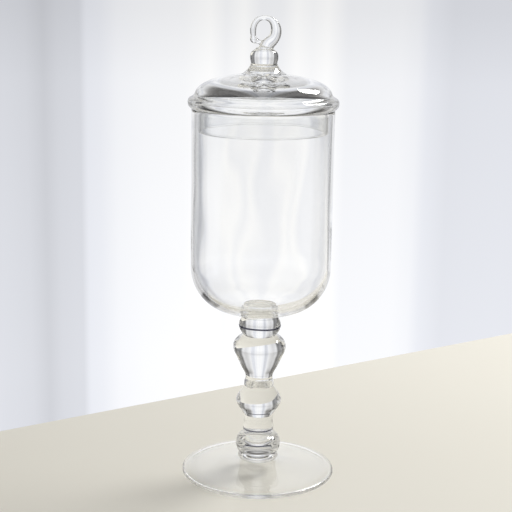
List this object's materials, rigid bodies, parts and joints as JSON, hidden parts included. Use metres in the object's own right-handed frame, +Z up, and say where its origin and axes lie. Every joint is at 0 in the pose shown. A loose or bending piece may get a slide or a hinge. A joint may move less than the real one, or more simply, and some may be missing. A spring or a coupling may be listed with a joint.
{
  "type": "apothecary jar",
  "caption": "Tall clear glass jar with a round-bottomed cylindrical bowl on a turned knopped stem and conical foot, closed by a domed lift-off lid with a bent loop finial.",
  "frame": {"origin": "centre of the ring that the foot rests on, on the jar's axis at table height", "axes": "+Z up along the jar's axis; +X across the opening of the finial's loop, towards the loop's thick side; +Y runs through the loop from front to back"},
  "size_m": [0.154, 0.154, 0.457],
  "materials": {
    "foot_glass": "clear fire-polished glass",
    "stem_glass": "clear solid fire-polished glass",
    "bowl_glass": "clear blown glass with faint waves",
    "lid_glass": "clear blown glass with faint rings",
    "finial_glass": "clear solid fire-polished glass"
  },
  "bodies": {
    "jar": {"foot_disc": "foot_glass", "foot_collar": "stem_glass", "ball_knop": "stem_glass", "stem_column": "stem_glass", "shoulder_knop": "stem_glass", "baluster_knop": "stem_glass", "bowl_bead": "stem_glass", "bowl": "bowl_glass"},
    "lid": {"lid_flange": "lid_glass", "lid_dome": "lid_glass", "finial_collar": "finial_glass", "finial_bead": "finial_glass", "finial_loop": "finial_glass"}
  },
  "joints": [
    {"name": "lid_lift", "type": "slide", "parent": "jar", "child": "lid", "axis": [0, 0, 1], "range_m": [0, 0.15]}
  ]
}
